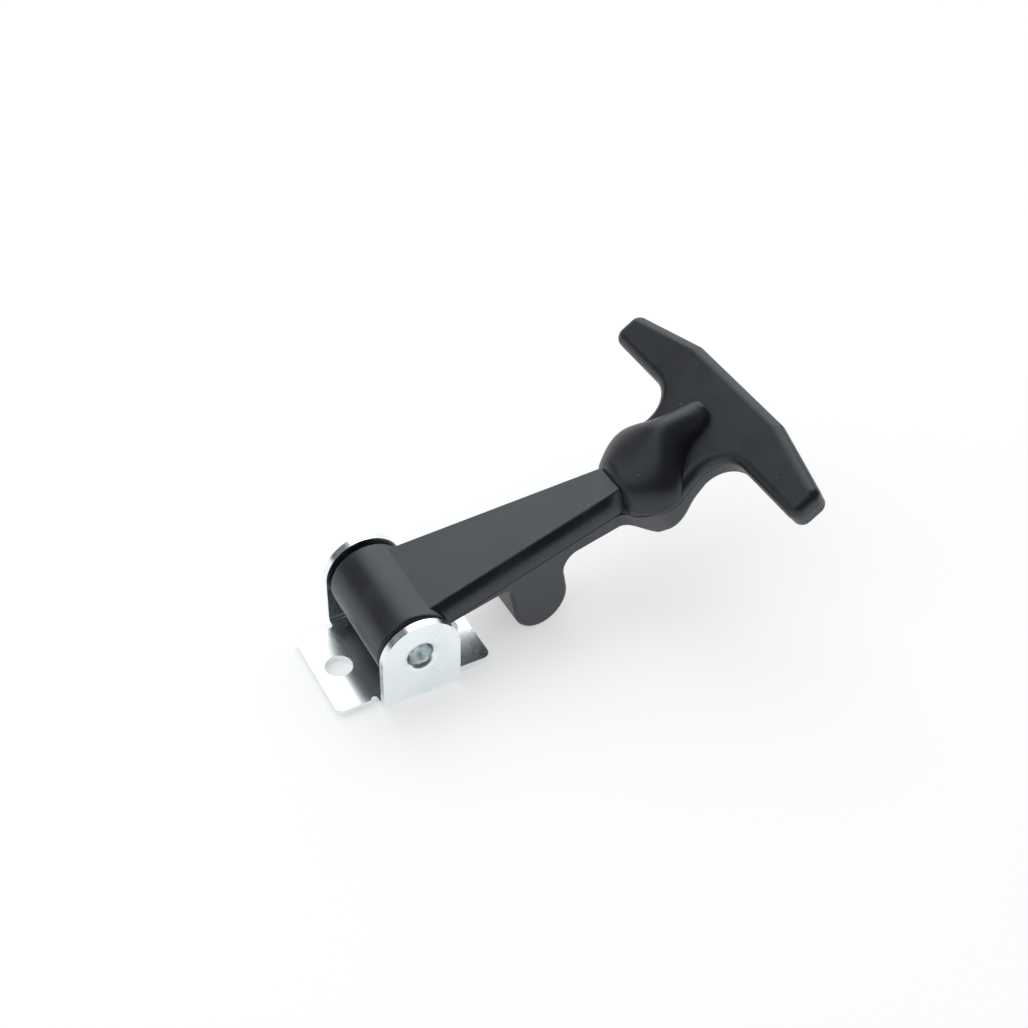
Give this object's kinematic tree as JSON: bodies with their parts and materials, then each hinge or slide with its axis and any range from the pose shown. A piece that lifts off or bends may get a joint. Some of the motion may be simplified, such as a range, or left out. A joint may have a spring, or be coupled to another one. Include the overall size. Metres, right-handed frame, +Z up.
{
  "type": "rubber T-handle draw latch",
  "caption": "Draw latch with a stretchy moulded rubber T handle, hooked underneath, that swings between the ears of a folded steel bracket.",
  "frame": {"origin": "centre of the base plate's underside", "axes": "+X from the pivot along the handle to the T, +Y along the pivot, +Z up from the mounting surface"},
  "size_m": [0.1118, 0.0758, 0.0466],
  "materials": {
    "zinc_plate": "bright zinc plate over mild steel sheet",
    "black_rubber": "satin moulded rubber"
  },
  "bodies": {
    "bracket": {"mounting_bracket": "zinc_plate"},
    "handle": {"rubber_handle": "black_rubber"}
  },
  "joints": [
    {"name": "handle_swing", "type": "hinge", "parent": "bracket", "child": "handle", "pos_m": [0, 0, 0.01375], "axis": [0, -1, 0], "range_deg": [0, 150]}
  ]
}
